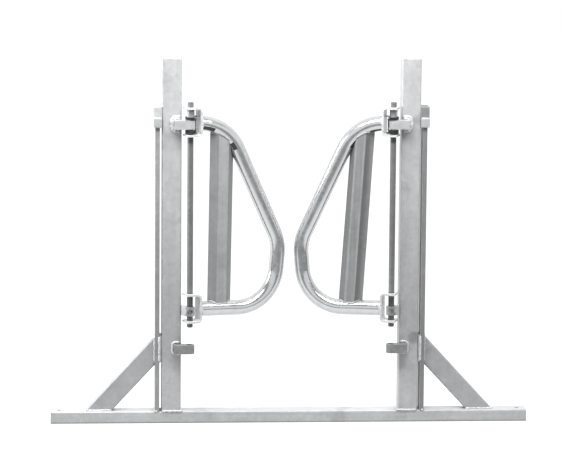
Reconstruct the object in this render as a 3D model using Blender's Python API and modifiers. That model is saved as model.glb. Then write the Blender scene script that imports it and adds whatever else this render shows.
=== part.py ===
"""Anti-backing gate for a cattle race.

Two square posts stand on a base bar, and a sprung D-shaped flap swings on a rod at each post.
X runs across the race, Y is the way the animals walk, and Z is up. The origin is on the ground,
at the middle of the base bar's underside. Lengths are in metres.

The left half is drawn, and the right half is its mirror image. Only the flaps' struts differ,
because they were set by hand.
"""

import math

import bmesh
import bpy
from mathutils import Matrix, Vector

MM = 0.001

# Whole gate
GATE_HEIGHT = 1228 * MM
CLEAR_WIDTH = 730 * MM
TOUCH_GAP = 0.3 * MM

# Base bar
BASE_LENGTH = 1600 * MM
BASE_DEPTH = 65 * MM
BASE_HEIGHT = 40 * MM
BASE_WALL = 3 * MM
BOLT_HOLE_DIAMETER = 14 * MM
BOLT_HOLE_INSET = 29 * MM

# Posts and their caps
POST_WIDTH = 65 * MM
POST_WALL = 3 * MM
CAP_THICKNESS = 3 * MM
TUBE_CORNER = 5 * MM

# Side slot, with the flat bar, block, packer and front lugs that bound it
SLOT_WIDTH = 7 * MM
FLAT_THICKNESS = 15 * MM
FLAT_TOP_BELOW_POST_TOP = 199 * MM
BLOCK_WIDTH = 28 * MM
BLOCK_HEIGHT = 37 * MM
PACKER_BOTTOM = 207 * MM
PACKER_HEIGHT = 89 * MM
PACKER_SET_BACK = 2 * MM
OUTER_LUG_LENGTH = 28 * MM
OUTER_LUG_DEPTH = 10 * MM

# Brace, a rectangular tube from the flat bar down to the base
BRACE_WIDTH = 66 * MM
BRACE_THICKNESS = 30 * MM
BRACE_WALL = 3 * MM
BRACE_TOP = 293 * MM
BRACE_FOOT_INSET = 115 * MM

# Hinge rod and the lugs that hold it
ROD_DIAMETER = 20 * MM
ROD_BORE_CLEARANCE = 0.5 * MM
ROD_FROM_POST_SIDE = 28.5 * MM
ROD_ABOVE_BRACKET = 17 * MM
ROD_BELOW_BRACKET = 16.5 * MM
LUG_HEIGHT = 30 * MM
LUG_END_RADIUS = 16 * MM
LUG_ROOT_FROM_ROD = 53 * MM
TOP_LUG_BELOW_POST_TOP = 233 * MM
SPARE_LUG_BOTTOM = 241 * MM
BOTTOM_LUG_BOTTOM = 369 * MM
BOTTOM_LUG_RADIUS = 16.5 * MM
BOTTOM_ARM_BEHIND_ROD = 26 * MM
BOTTOM_ARM_DEPTH = 22 * MM
PIN_DIAMETER = 6 * MM
PIN_LENGTH = 40 * MM

# Sleeve on the rod between the top lug and the bracket's upper ear
SLEEVE_DIAMETER = 25.4 * MM
SLEEVE_WALL = 2 * MM
SLEEVE_LENGTH = 36.4 * MM

# Flap brackets, bent from flat strap
STRAP_THICKNESS = 6 * MM
STRAP_BEND_RADIUS = 14 * MM
BRACKET_HEIGHT = 97 * MM
BRACKET_DEPTH = 55 * MM
BRACKET_REACH = 34 * MM
EAR_BEYOND_ROD = 17 * MM
LOW_BRACKET_BELOW_LUG = 22.5 * MM

# Flap tube
FLAP_TUBE_DIAMETER = 51 * MM
FLAP_TUBE_WALL = 2.6 * MM
NOSE_GAP = 28 * MM
REST_SWING = math.radians(18)
TOP_BEND_RADIUS = 156 * MM
NOSE_BEND_RADIUS = 150 * MM
LOW_BEND_RADIUS = 136 * MM
TOP_BEND_START = 25 * MM
TOP_BEND_ABOVE_LUG = 19 * MM
LOW_ARM_ABOVE_LUG = 18 * MM
NOSE_STRAIGHT = 50 * MM
NOSE_HEADING = math.radians(95)
LOW_ARM_RISE = math.radians(1.6)

# Flap strut, a folded channel whose middle facet faces forward
STRUT_THICKNESS = 4 * MM
STRUT_WEB = 34 * MM
STRUT_FLANGE = 32 * MM
STRUT_FOLD = math.radians(45)
STRUT_FOLD_RADIUS = 6 * MM
STRUT_FRONT = 20 * MM
STRUT_LEFT_TOP = 112 * MM
STRUT_LEFT_FOOT = 103 * MM
STRUT_RIGHT_TOP = 103 * MM
STRUT_RIGHT_FOOT = 142 * MM

# Double torsion spring
SPRING_WIRE = 4 * MM
SPRING_SLACK = 0.55 * MM
SPRING_PITCH = 4.6 * MM
SPRING_LOW_TURNS = 2.75
SPRING_TOP_TURNS = 1.75
SPRING_LINK_GAP = 0.4 * MM
SPRING_CORNER = 4 * MM
SPRING_IN_WEB = 4 * MM
SPRING_HOLE = 5.6 * MM
POINTS_PER_TURN = 9

# Places that follow from the sizes above
POST_TOP = GATE_HEIGHT - CAP_THICKNESS
POST_INNER = CLEAR_WIDTH / 2
POST_OUTER = POST_INNER + POST_WIDTH
POST_FRONT = -POST_WIDTH / 2
FLAT_INNER = POST_OUTER + SLOT_WIDTH
FLAT_OUTER = FLAT_INNER + FLAT_THICKNESS
FLAT_TOP = GATE_HEIGHT - FLAT_TOP_BELOW_POST_TOP
BASE_TOP = BASE_HEIGHT
ROD_X = POST_INNER - ROD_FROM_POST_SIDE
ROD_Y = POST_FRONT - LUG_END_RADIUS
ROD_RADIUS = ROD_DIAMETER / 2
ROD_BORE = ROD_RADIUS + ROD_BORE_CLEARANCE
TOP_LUG_BOTTOM = GATE_HEIGHT - TOP_LUG_BELOW_POST_TOP
TOP_LUG_TOP = TOP_LUG_BOTTOM + LUG_HEIGHT
SLEEVE_BOTTOM = TOP_LUG_TOP + TOUCH_GAP
TOP_BRACKET_TOP = SLEEVE_BOTTOM + SLEEVE_LENGTH + TOUCH_GAP + STRAP_THICKNESS
TOP_BRACKET_BOTTOM = TOP_BRACKET_TOP - BRACKET_HEIGHT
LOW_BRACKET_BOTTOM = BOTTOM_LUG_BOTTOM - LOW_BRACKET_BELOW_LUG
ROD_BOTTOM = LOW_BRACKET_BOTTOM - ROD_BELOW_BRACKET
ROD_TOP = TOP_BRACKET_TOP + ROD_ABOVE_BRACKET
FLAP_TUBE_RADIUS = FLAP_TUBE_DIAMETER / 2
FLAP_REACH = (ROD_X - NOSE_GAP / 2 - FLAP_TUBE_RADIUS) / math.cos(REST_SWING)
FLAP_TOP = TOP_LUG_BOTTOM + TOP_BEND_ABOVE_LUG
FLAP_BOTTOM = BOTTOM_LUG_BOTTOM + LOW_ARM_ABOVE_LUG
WEB_INNER = BRACKET_REACH - STRAP_THICKNESS
COIL_RADIUS = (SLEEVE_DIAMETER / 2 + SPRING_SLACK + SPRING_WIRE / 2) / math.cos(math.pi / POINTS_PER_TURN)
LINK_RADIUS = LUG_END_RADIUS + SPRING_LINK_GAP + SPRING_WIRE / 2
LOW_COIL_Z = TOP_LUG_BOTTOM - TOUCH_GAP - SPRING_WIRE / 2
TOP_COIL_Z = TOP_LUG_TOP + TOUCH_GAP + SPRING_WIRE / 2
LOW_LEG_Z = LOW_COIL_Z - SPRING_LOW_TURNS * SPRING_PITCH
TOP_LEG_Z = TOP_COIL_Z + SPRING_TOP_TURNS * SPRING_PITCH

MIRROR = Matrix.Scale(-1, 4, (1, 0, 0))
SMOOTH_ANGLE = math.radians(32)
ARC_STEP = math.radians(22.5)
TUBE_STEP = math.radians(7.5)
WELD_DISTANCE = 0.001 * MM
CUT_REACH = 200 * MM


def clear_scene():
    """Remove whatever the scene starts with."""
    for item in list(bpy.data.objects):
        bpy.data.objects.remove(item, do_unlink=True)


def new_collection(name):
    collection = bpy.data.collections.new(name)
    bpy.context.scene.collection.children.link(collection)
    return collection


def metal(name, grey, roughness, metallic=0.85):
    """A Principled material in a slightly cool grey."""
    material = bpy.data.materials.new(name)
    material.use_nodes = True
    shader = material.node_tree.nodes["Principled BSDF"]
    shader.inputs["Base Color"].default_value = (grey * 0.98, grey, grey * 1.02, 1)
    shader.inputs["Roughness"].default_value = roughness
    shader.inputs["Metallic"].default_value = metallic
    return material


def place(name, data, material, parent=None):
    """Put a mesh or curve into the gate's collection as one named piece."""
    piece = bpy.data.objects.new(name, data)
    gate_pieces.objects.link(piece)
    data.materials.append(material)
    piece.parent = parent
    return piece


def smooth(mesh):
    mesh.shade_smooth()
    mesh.set_sharp_from_angle(angle=SMOOTH_ANGLE)


def tidy_mesh(mesh, matrix=None):
    """Weld loose seams, point the faces outward and shade the round parts smooth."""
    work = bmesh.new()
    work.from_mesh(mesh)
    bmesh.ops.remove_doubles(work, verts=work.verts, dist=WELD_DISTANCE)
    bmesh.ops.recalc_face_normals(work, faces=work.faces)
    work.to_mesh(mesh)
    work.free()
    if matrix:
        mesh.transform(matrix)
    smooth(mesh)
    return mesh


def box_mesh(name, low, high):
    """A box between two corners."""
    low, high = Vector(low), Vector(high)
    work = bmesh.new()
    bmesh.ops.create_cube(work, size=1)
    bmesh.ops.scale(work, vec=high - low, verts=work.verts)
    bmesh.ops.translate(work, vec=(low + high) / 2, verts=work.verts)
    mesh = bpy.data.meshes.new(name)
    work.to_mesh(mesh)
    work.free()
    return mesh


def cylinder_mesh(name, radius, start, end, sides=24):
    """A round bar between two points."""
    start, end = Vector(start), Vector(end)
    axis = end - start
    turn = Vector((0, 0, 1)).rotation_difference(axis).to_matrix().to_4x4()
    matrix = Matrix.Translation((start + end) / 2) @ turn
    work = bmesh.new()
    bmesh.ops.create_cone(work, cap_ends=True, segments=sides, radius1=radius,
                          radius2=radius, depth=axis.length, matrix=matrix)
    mesh = bpy.data.meshes.new(name)
    work.to_mesh(mesh)
    work.free()
    smooth(mesh)
    return mesh


def circle(radius, sides=24):
    return [(radius * math.cos(i * math.tau / sides), radius * math.sin(i * math.tau / sides))
            for i in range(sides)]


def rounded(corners, radius, closed=True):
    """An outline with each of its corners rounded."""
    points = []
    count = len(corners)
    for i, corner in enumerate(corners):
        here = Vector(corner)
        if not closed and i in (0, count - 1):
            points.append(tuple(here))
            continue
        back = (Vector(corners[i - 1]) - here).normalized()
        ahead = (Vector(corners[(i + 1) % count]) - here).normalized()
        half = back.angle(ahead) / 2
        centre = here + (back + ahead).normalized() * radius / math.sin(half)
        first = here + back * radius / math.tan(half) - centre
        last = here + ahead * radius / math.tan(half) - centre
        turn = first.angle_signed(last)
        steps = max(1, math.ceil(abs(turn) / ARC_STEP))
        for k in range(steps + 1):
            spoke = first.copy()
            spoke.rotate(Matrix.Rotation(-turn * k / steps, 2))
            points.append(tuple(centre + spoke))
    return points


def rectangle(width, height):
    x, y = width / 2, height / 2
    return [(-x, -y), (x, -y), (x, y), (-x, y)]


def outline_mesh(name, loops, thickness, matrix):
    """A flat outline, with any holes as further loops, made thick and then moved into place."""
    curve = bpy.data.curves.new(name, "CURVE")
    curve.dimensions = "2D"
    curve.fill_mode = "BOTH"
    curve.extrude = thickness / 2
    for loop in loops:
        spline = curve.splines.new("POLY")
        spline.points.add(len(loop) - 1)
        for point, (x, y) in zip(spline.points, loop):
            point.co = (x, y, 0, 1)
        spline.use_cyclic_u = True
    guide = bpy.data.objects.new(name, curve)
    bpy.context.scene.collection.objects.link(guide)
    bpy.context.view_layer.update()
    evaluated = guide.evaluated_get(bpy.context.evaluated_depsgraph_get())
    mesh = bpy.data.meshes.new_from_object(evaluated)
    bpy.data.objects.remove(guide)
    return tidy_mesh(mesh, matrix)


def wire_curve(name, points, radius, resolution):
    """A round wire or tube along a list of points, with flat ends."""
    curve = bpy.data.curves.new(name, "CURVE")
    curve.dimensions = "3D"
    curve.bevel_depth = radius
    curve.bevel_resolution = resolution
    curve.use_fill_caps = True
    spline = curve.splines.new("POLY")
    spline.points.add(len(points) - 1)
    for point, place_at in zip(spline.points, points):
        point.co = (*place_at, 1)
    return curve


def curve_to_mesh(name, curve, matrix=None):
    """The welded mesh of a curve, for pieces that are cut."""
    guide = bpy.data.objects.new(name, curve)
    bpy.context.scene.collection.objects.link(guide)
    bpy.context.view_layer.update()
    evaluated = guide.evaluated_get(bpy.context.evaluated_depsgraph_get())
    mesh = bpy.data.meshes.new_from_object(evaluated)
    bpy.data.objects.remove(guide)
    return tidy_mesh(mesh, matrix)


def cutter(name, mesh, parent=None):
    """A hidden solid that cuts other pieces."""
    tool = bpy.data.objects.new(name, mesh)
    cutters.objects.link(tool)
    tool.parent = parent
    tool.hide_render = True
    tool.display_type = "WIRE"
    return tool


def cut(piece, tool):
    modifier = piece.modifiers.new(tool.name, "BOOLEAN")
    modifier.operation = "DIFFERENCE"
    modifier.solver = "EXACT"
    modifier.object = tool


def ease_edges(piece, width, segments=2):
    """Round a piece's sharp edges."""
    modifier = piece.modifiers.new("eased_edges", "BEVEL")
    modifier.width = width
    modifier.segments = segments
    modifier.limit_method = "ANGLE"
    modifier.angle_limit = math.radians(50)


def mirror_to_right(piece, name, parent=None):
    """Copy a left-hand piece to the right half, as its mirror image."""
    bpy.context.view_layer.update()
    evaluated = piece.evaluated_get(bpy.context.evaluated_depsgraph_get())
    mesh = bpy.data.meshes.new_from_object(evaluated)
    mesh.transform(MIRROR)
    mesh.flip_normals()
    twin = bpy.data.objects.new(name, mesh)
    gate_pieces.objects.link(twin)
    twin.parent = parent
    twin.matrix_local = MIRROR @ piece.matrix_local @ MIRROR
    return twin


def upright_tube(name, width, wall, bottom, top, centre_x, material):
    """A square tube that stands on end."""
    outer = rounded(rectangle(width, width), TUBE_CORNER)
    inner = rounded(rectangle(width - 2 * wall, width - 2 * wall), TUBE_CORNER - wall)
    matrix = Matrix.Translation((0, 0, (bottom + top) / 2))
    piece = place(name, outline_mesh(name, [outer, inner], top - bottom, matrix), material)
    piece.location.x = centre_x
    return piece


def make_base(material):
    outer = rounded(rectangle(BASE_DEPTH, BASE_HEIGHT), TUBE_CORNER)
    inner = rounded(rectangle(BASE_DEPTH - 2 * BASE_WALL, BASE_HEIGHT - 2 * BASE_WALL),
                    TUBE_CORNER - BASE_WALL)
    lie_down = Matrix.Rotation(math.pi / 2, 4, "Z") @ Matrix.Rotation(math.pi / 2, 4, "X")
    base = place("base_bar", outline_mesh("base_bar", [outer, inner], BASE_LENGTH, lie_down), material)
    base.location.z = BASE_HEIGHT / 2
    for side in (-1, 1):
        x = side * (BASE_LENGTH / 2 - BOLT_HOLE_INSET)
        hole = cylinder_mesh("bolt_hole", BOLT_HOLE_DIAMETER / 2, (x, 0, -CUT_REACH), (x, 0, CUT_REACH))
        cut(base, cutter("bolt_hole", hole))
    return base


def make_post(material):
    centre = -(POST_INNER + POST_WIDTH / 2)
    return upright_tube("post_left", POST_WIDTH, POST_WALL, BASE_TOP + TOUCH_GAP, POST_TOP, centre, material)


def make_post_cap(material):
    outline = rounded(rectangle(POST_WIDTH, POST_WIDTH), TUBE_CORNER)
    middle = POST_TOP + TOUCH_GAP + (CAP_THICKNESS - TOUCH_GAP) / 2
    mesh = outline_mesh("post_cap_left", [outline], CAP_THICKNESS - TOUCH_GAP, Matrix.Translation((0, 0, middle)))
    cap = place("post_cap_left", mesh, material)
    cap.location.x = -(POST_INNER + POST_WIDTH / 2)
    return cap


def left_box(name, inner, outer, front, back, bottom, top, material, edge):
    """A bar on the left half, from its inner side to its outer side, with eased edges."""
    piece = place(name, box_mesh(name, (-outer, front, bottom), (-inner, back, top)), material)
    ease_edges(piece, edge)
    return piece


def make_outer_flat(material):
    return left_box("outer_flat_left", FLAT_INNER, FLAT_OUTER, POST_FRONT, -POST_FRONT,
                    BASE_TOP + TOUCH_GAP, FLAT_TOP, material, 1 * MM)


def make_slot_block(material):
    bottom = FLAT_TOP + TOUCH_GAP
    inner = POST_OUTER + TOUCH_GAP
    return left_box("slot_block_left", inner, inner + BLOCK_WIDTH, POST_FRONT, -POST_FRONT,
                    bottom, bottom + BLOCK_HEIGHT, material, 1 * MM)


def make_slot_packer(material):
    return left_box("slot_packer_left", POST_OUTER + TOUCH_GAP, FLAT_INNER - TOUCH_GAP,
                    POST_FRONT + PACKER_SET_BACK, -POST_FRONT - PACKER_SET_BACK,
                    PACKER_BOTTOM, PACKER_BOTTOM + PACKER_HEIGHT, material, 0.5 * MM)


def make_outer_lug(material):
    """A short bar across the front of the slot and the flat bar, flush with the flat bar's top."""
    inner = POST_OUTER + TOUCH_GAP
    back = POST_FRONT - TOUCH_GAP
    return left_box("outer_lug_top_left", inner, inner + OUTER_LUG_LENGTH, back - OUTER_LUG_DEPTH, back,
                    FLAT_TOP - LUG_HEIGHT, FLAT_TOP, material, 1.5 * MM)


def make_brace(material):
    """The sloping tube, trimmed to the flat bar's outer face and to the base's top."""
    head = Vector((-FLAT_OUTER, 0, BRACE_TOP))
    foot = Vector((-(BASE_LENGTH / 2 - BRACE_FOOT_INSET), 0, BASE_TOP))
    upper_edge = foot - head
    slope = math.atan2(-upper_edge.z, -upper_edge.x)
    length = upper_edge.length + 2 * BRACE_WIDTH
    outer = rounded(rectangle(BRACE_THICKNESS, BRACE_WIDTH), TUBE_CORNER)
    inner = rounded(rectangle(BRACE_THICKNESS - 2 * BRACE_WALL, BRACE_WIDTH - 2 * BRACE_WALL),
                    TUBE_CORNER - BRACE_WALL)
    lie_down = Matrix.Rotation(math.pi / 2, 4, "Z") @ Matrix.Rotation(math.pi / 2, 4, "X")
    brace = place("brace_left", outline_mesh("brace_left", [outer, inner], length, lie_down), material)
    inward = Vector((math.sin(slope), 0, -math.cos(slope)))
    brace.location = (head + foot) / 2 + inward * BRACE_WIDTH / 2
    brace.rotation_euler.y = -slope
    post_side = box_mesh("brace_head_cut", (-FLAT_OUTER - TOUCH_GAP, -CUT_REACH, -CUT_REACH),
                         (CUT_REACH - FLAT_OUTER, CUT_REACH, GATE_HEIGHT))
    ground_side = box_mesh("brace_foot_cut", (-BASE_LENGTH, -CUT_REACH, -CUT_REACH),
                           (0, CUT_REACH, BASE_TOP + TOUCH_GAP))
    cut(brace, cutter("brace_head_cut", post_side))
    cut(brace, cutter("brace_foot_cut", ground_side))
    return brace


def lug_outline(radius, root_x, root_front, root_back):
    """Plan of a lug: a round end about the rod, with straight sides back to its root."""
    def touch_angle(x, y, side):
        return math.atan2(y, x) + side * math.acos(radius / math.hypot(x, y))

    first = touch_angle(root_x, root_back, -1)
    last = touch_angle(root_x, root_front, 1) - math.tau * (root_front >= 0)
    steps = math.ceil((first - last) / ARC_STEP)
    points = [(root_x, root_back)]
    for i in range(steps + 1):
        angle = first + (last - first) * i / steps
        points.append((radius * math.cos(angle), radius * math.sin(angle)))
    points.append((root_x, root_front))
    return points


def make_lug(name, outline, bottom, material):
    """A lug round the rod's axis, bored for the rod."""
    bore = list(reversed(circle(ROD_BORE)))
    matrix = Matrix.Translation((0, 0, bottom + LUG_HEIGHT / 2))
    lug = place(name, outline_mesh(name, [outline, bore], LUG_HEIGHT, matrix), material)
    lug.location = (-ROD_X, ROD_Y, 0)
    return lug


def make_front_lug(name, bottom, material):
    """A straight lug across the post's front face."""
    back = LUG_END_RADIUS - TOUCH_GAP
    outline = lug_outline(back, -LUG_ROOT_FROM_ROD, -back, back)
    return make_lug(name, outline, bottom, material)


def make_bottom_lug(material):
    """The boss on an arm that comes from the post's inner side."""
    root = -ROD_FROM_POST_SIDE + TOUCH_GAP
    front = BOTTOM_ARM_BEHIND_ROD - BOTTOM_ARM_DEPTH
    outline = lug_outline(BOTTOM_LUG_RADIUS, root, front, BOTTOM_ARM_BEHIND_ROD)
    return make_lug("hinge_lug_bottom_left", outline, BOTTOM_LUG_BOTTOM, material)


def make_rod(material):
    rod = place("hinge_rod_left", cylinder_mesh("hinge_rod_left", ROD_RADIUS, (0, 0, ROD_BOTTOM),
                                                (0, 0, ROD_TOP), 20), material)
    rod.location = (-ROD_X, ROD_Y, 0)
    ease_edges(rod, 1.5 * MM, 1)
    return rod


def make_lock_pin(material):
    height = BOTTOM_LUG_BOTTOM + LUG_HEIGHT / 2
    ends = [(0, -PIN_LENGTH / 2, height), (0, PIN_LENGTH / 2, height)]
    pin = place("lock_pin_left", cylinder_mesh("lock_pin_left", PIN_DIAMETER / 2, *ends, 12), material)
    pin.location = (-ROD_X, ROD_Y, 0)
    hole_radius = PIN_DIAMETER / 2 + TOUCH_GAP
    hole = cylinder_mesh("pin_hole", hole_radius, (0, -CUT_REACH, height), (0, CUT_REACH, height), 12)
    tool = cutter("pin_hole", hole)
    tool.location = pin.location
    return pin, tool


def make_sleeve(material):
    radius = SLEEVE_DIAMETER / 2
    loops = [circle(radius), list(reversed(circle(radius - SLEEVE_WALL)))]
    matrix = Matrix.Translation((0, 0, SLEEVE_BOTTOM + SLEEVE_LENGTH / 2))
    sleeve = place("sleeve_left", outline_mesh("sleeve_left", loops, SLEEVE_LENGTH, matrix), material)
    sleeve.location = (-ROD_X, ROD_Y, 0)
    return sleeve


def make_bracket(name, bottom, hinge, bore, leg_hole, material):
    """A strap bent into a C, with a bored ear above and below and its web away from the rod."""
    top = bottom + BRACKET_HEIGHT
    middle = (bottom + top) / 2
    half = BRACKET_HEIGHT / 2
    inner = half - STRAP_THICKNESS
    edge = -EAR_BEYOND_ROD
    outer_side = rounded([(edge, half), (BRACKET_REACH, half), (BRACKET_REACH, -half), (edge, -half)],
                         STRAP_BEND_RADIUS, closed=False)
    inner_side = rounded([(edge, -inner), (WEB_INNER, -inner), (WEB_INNER, inner), (edge, inner)],
                         STRAP_BEND_RADIUS - STRAP_THICKNESS, closed=False)
    stand_up = Matrix.Translation((0, 0, middle)) @ Matrix.Rotation(math.pi / 2, 4, "X")
    mesh = outline_mesh(name, [outer_side + inner_side], BRACKET_DEPTH, stand_up)
    bracket = place(name, mesh, material, hinge)
    cut(bracket, bore)
    if leg_hole:
        cut(bracket, leg_hole)
    return bracket


def top_bend_point(angle):
    """A point on the flap tube's upper bend, by how far the tube has turned down."""
    return (TOP_BEND_START + TOP_BEND_RADIUS * math.sin(angle),
            FLAP_TOP - TOP_BEND_RADIUS * (1 - math.cos(angle)))


def slope_run(angle):
    """Length of the sloping straight that brings the nose to the flap's reach."""
    across = TOP_BEND_RADIUS * math.sin(angle) + NOSE_BEND_RADIUS * (1 - math.sin(angle))
    return (FLAP_REACH - TOP_BEND_START - across) / math.cos(angle)


def flap_drop(angle):
    """Height from the flap tube's start down to its bottom arm, for one turn of the upper bend."""
    bend = TOP_BEND_RADIUS * (1 - math.cos(angle))
    slope = slope_run(angle) * math.sin(angle)
    nose = NOSE_BEND_RADIUS * (math.cos(angle) - math.cos(NOSE_HEADING))
    straight = NOSE_STRAIGHT * math.sin(NOSE_HEADING)
    low = LOW_BEND_RADIUS * (1 + math.cos(NOSE_HEADING))
    return bend + slope + nose + straight + low


def find_top_turn():
    """How far the upper bend turns, so that the D is as tall as its hinges are apart."""
    low, high = math.radians(20), math.radians(85)
    for _ in range(50):
        middle = (low + high) / 2
        if flap_drop(middle) < FLAP_TOP - FLAP_BOTTOM:
            low = middle
        else:
            high = middle
    return middle


def flap_route():
    """The flap tube's centre line as (distance from the rod, height), from top to bottom."""
    top_turn = find_top_turn()
    u, z, heading = TOP_BEND_START, FLAP_TOP, 0
    points = [(u, z)]
    runs = [(TOP_BEND_RADIUS, top_turn), (0, slope_run(top_turn)),
            (NOSE_BEND_RADIUS, NOSE_HEADING - top_turn), (0, NOSE_STRAIGHT),
            (LOW_BEND_RADIUS, math.pi + LOW_ARM_RISE - NOSE_HEADING)]
    for radius, amount in runs:
        if not radius:
            u += amount * math.cos(heading)
            z -= amount * math.sin(heading)
            points.append((u, z))
            continue
        centre = (u - radius * math.sin(heading), z - radius * math.cos(heading))
        steps = math.ceil(amount / TUBE_STEP)
        for i in range(1, steps + 1):
            angle = heading + amount * i / steps
            points.append((centre[0] + radius * math.sin(angle), centre[1] + radius * math.cos(angle)))
        heading += amount
        u, z = points[-1]
    run = u - TOP_BEND_START
    points.append((TOP_BEND_START, z + run * math.tan(LOW_ARM_RISE)))
    return points


def make_flap_tube(hinge, material):
    """The bent tube, open at both ends, cut flat where it meets the brackets' webs."""
    route = [(u, 0, z) for u, z in flap_route()]
    curve = wire_curve("flap_tube_left", route, FLAP_TUBE_RADIUS, 8)
    curve.use_fill_caps = False
    tube = place("flap_tube_left", curve_to_mesh("flap_tube_left", curve), material, hinge)
    wall = tube.modifiers.new("wall", "SOLIDIFY")
    wall.thickness = FLAP_TUBE_WALL
    wall.offset = -1
    end = box_mesh("flap_end_cut", (-CUT_REACH, -CUT_REACH, 0),
                   (BRACKET_REACH + TOUCH_GAP, CUT_REACH, GATE_HEIGHT))
    cut(tube, cutter("flap_end_cut", end, hinge))
    solid_curve = wire_curve("strut_end_cut", route, FLAP_TUBE_RADIUS + TOUCH_GAP, 8)
    tool = cutter("strut_end_cut", curve_to_mesh("strut_end_cut", solid_curve), hinge)
    return tube, tool


def top_bend_height(u):
    """Height of the upper bend's centre line at a distance from the rod."""
    return top_bend_point(math.asin((u - TOP_BEND_START) / TOP_BEND_RADIUS))[1]


def low_arm_height(u):
    """Height of the bottom arm's centre line at a distance from the rod."""
    end_u, end_z = flap_route()[-1]
    return end_z - (u - end_u) * math.tan(LOW_ARM_RISE)


def make_strut(name, top_u, foot_u, hinge, tool, material):
    """The folded channel, whose every line runs from the bottom arm up to the upper bend."""
    web = STRUT_WEB / 2
    tip = web + STRUT_FLANGE * math.cos(STRUT_FOLD)
    front = -STRUT_FRONT + STRUT_THICKNESS / 2
    back = front + STRUT_FLANGE * math.sin(STRUT_FOLD)
    profile = rounded([(-tip, back), (-web, front), (web, front), (tip, back)], STRUT_FOLD_RADIUS, closed=False)
    work = bmesh.new()
    foot = [work.verts.new((foot_u + s, y, low_arm_height(foot_u + s))) for s, y in profile]
    edges = [work.edges.new(pair) for pair in zip(foot, foot[1:])]
    grown = bmesh.ops.extrude_edge_only(work, edges=edges)
    rising = [item for item in grown["geom"] if isinstance(item, bmesh.types.BMVert)]
    for vert in rising:
        vert.co.x += top_u - foot_u
        vert.co.z = top_bend_height(vert.co.x)
    mesh = bpy.data.meshes.new(name)
    work.to_mesh(mesh)
    work.free()
    smooth(mesh)
    strut = place(name, mesh, material, hinge)
    sheet = strut.modifiers.new("sheet", "SOLIDIFY")
    sheet.thickness = STRUT_THICKNESS
    sheet.offset = 0
    sheet.use_even_offset = True
    cut(strut, tool)
    return strut


def coil_points(turns, start_z, climb):
    """Points from the centre loop round one half's coil to where its leg leaves."""
    points = []
    count = round(turns * POINTS_PER_TURN)
    for i in range(count + 1):
        done = i / count
        angle = -math.tau * turns * done
        ease = min(1, done * turns * 4)
        radius = LINK_RADIUS + (COIL_RADIUS - LINK_RADIUS) * ease * ease * (3 - 2 * ease)
        height = start_z + climb * SPRING_PITCH * turns * done
        points.append(Vector((radius * math.cos(angle), radius * math.sin(angle), height)))
    return points


def spring_route():
    """The spring's centre line, from its lower tip to its upper tip, with the flap along +X."""
    low = coil_points(SPRING_LOW_TURNS, LOW_COIL_Z, -1)
    top = coil_points(SPRING_TOP_TURNS, TOP_COIL_Z, 1)
    loop = []
    for start_z, climb in ((LOW_COIL_Z, 1), (TOP_COIL_Z, -1)):
        corner = []
        for i in range(1, 4):
            angle = i * math.pi / 6
            corner.append(Vector((LINK_RADIUS, SPRING_CORNER * math.sin(angle),
                                  start_z + climb * SPRING_CORNER * (1 - math.cos(angle)))))
        loop.append(corner)
    tip_x = WEB_INNER + SPRING_IN_WEB
    low_tip = Vector((tip_x, COIL_RADIUS, low[-1].z))
    top_tip = Vector((tip_x, COIL_RADIUS, top[-1].z))
    return [low_tip] + low[::-1] + loop[0] + loop[1][::-1] + top + [top_tip]


def spring_self_gap(points):
    """Least gap between parts of the wire that are half a turn or more apart along it."""
    apart = POINTS_PER_TURN // 2
    nearest = min((points[i] - points[j]).length
                  for i in range(len(points)) for j in range(i + apart, len(points)))
    return nearest - SPRING_WIRE


def make_spring(hinge, material):
    points = spring_route()
    print("least gap of the spring to itself, in mm:", round(spring_self_gap(points) / MM, 3))
    curve = wire_curve("torsion_spring_left", points, SPRING_WIRE / 2, 1)
    spring = place("torsion_spring_left", curve_to_mesh("torsion_spring_left", curve), material)
    spring.matrix_local = hinge.matrix_local
    holes = []
    for name, height in (("low_leg_hole", LOW_LEG_Z), ("top_leg_hole", TOP_LEG_Z)):
        hole = cylinder_mesh(name, SPRING_HOLE / 2, (0, COIL_RADIUS, height), (CUT_REACH, COIL_RADIUS, height), 12)
        holes.append(hole)
    joined = bmesh.new()
    for hole in holes:
        joined.from_mesh(hole)
    tool_mesh = bpy.data.meshes.new("leg_holes")
    joined.to_mesh(tool_mesh)
    joined.free()
    return spring, cutter("leg_holes", tool_mesh, hinge)


def make_hinge(name, matrix):
    """The empty that a flap's pieces hang from, on the rod's axis."""
    hinge = bpy.data.objects.new(name, None)
    gate_pieces.objects.link(hinge)
    hinge.matrix_local = matrix
    return hinge


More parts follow.
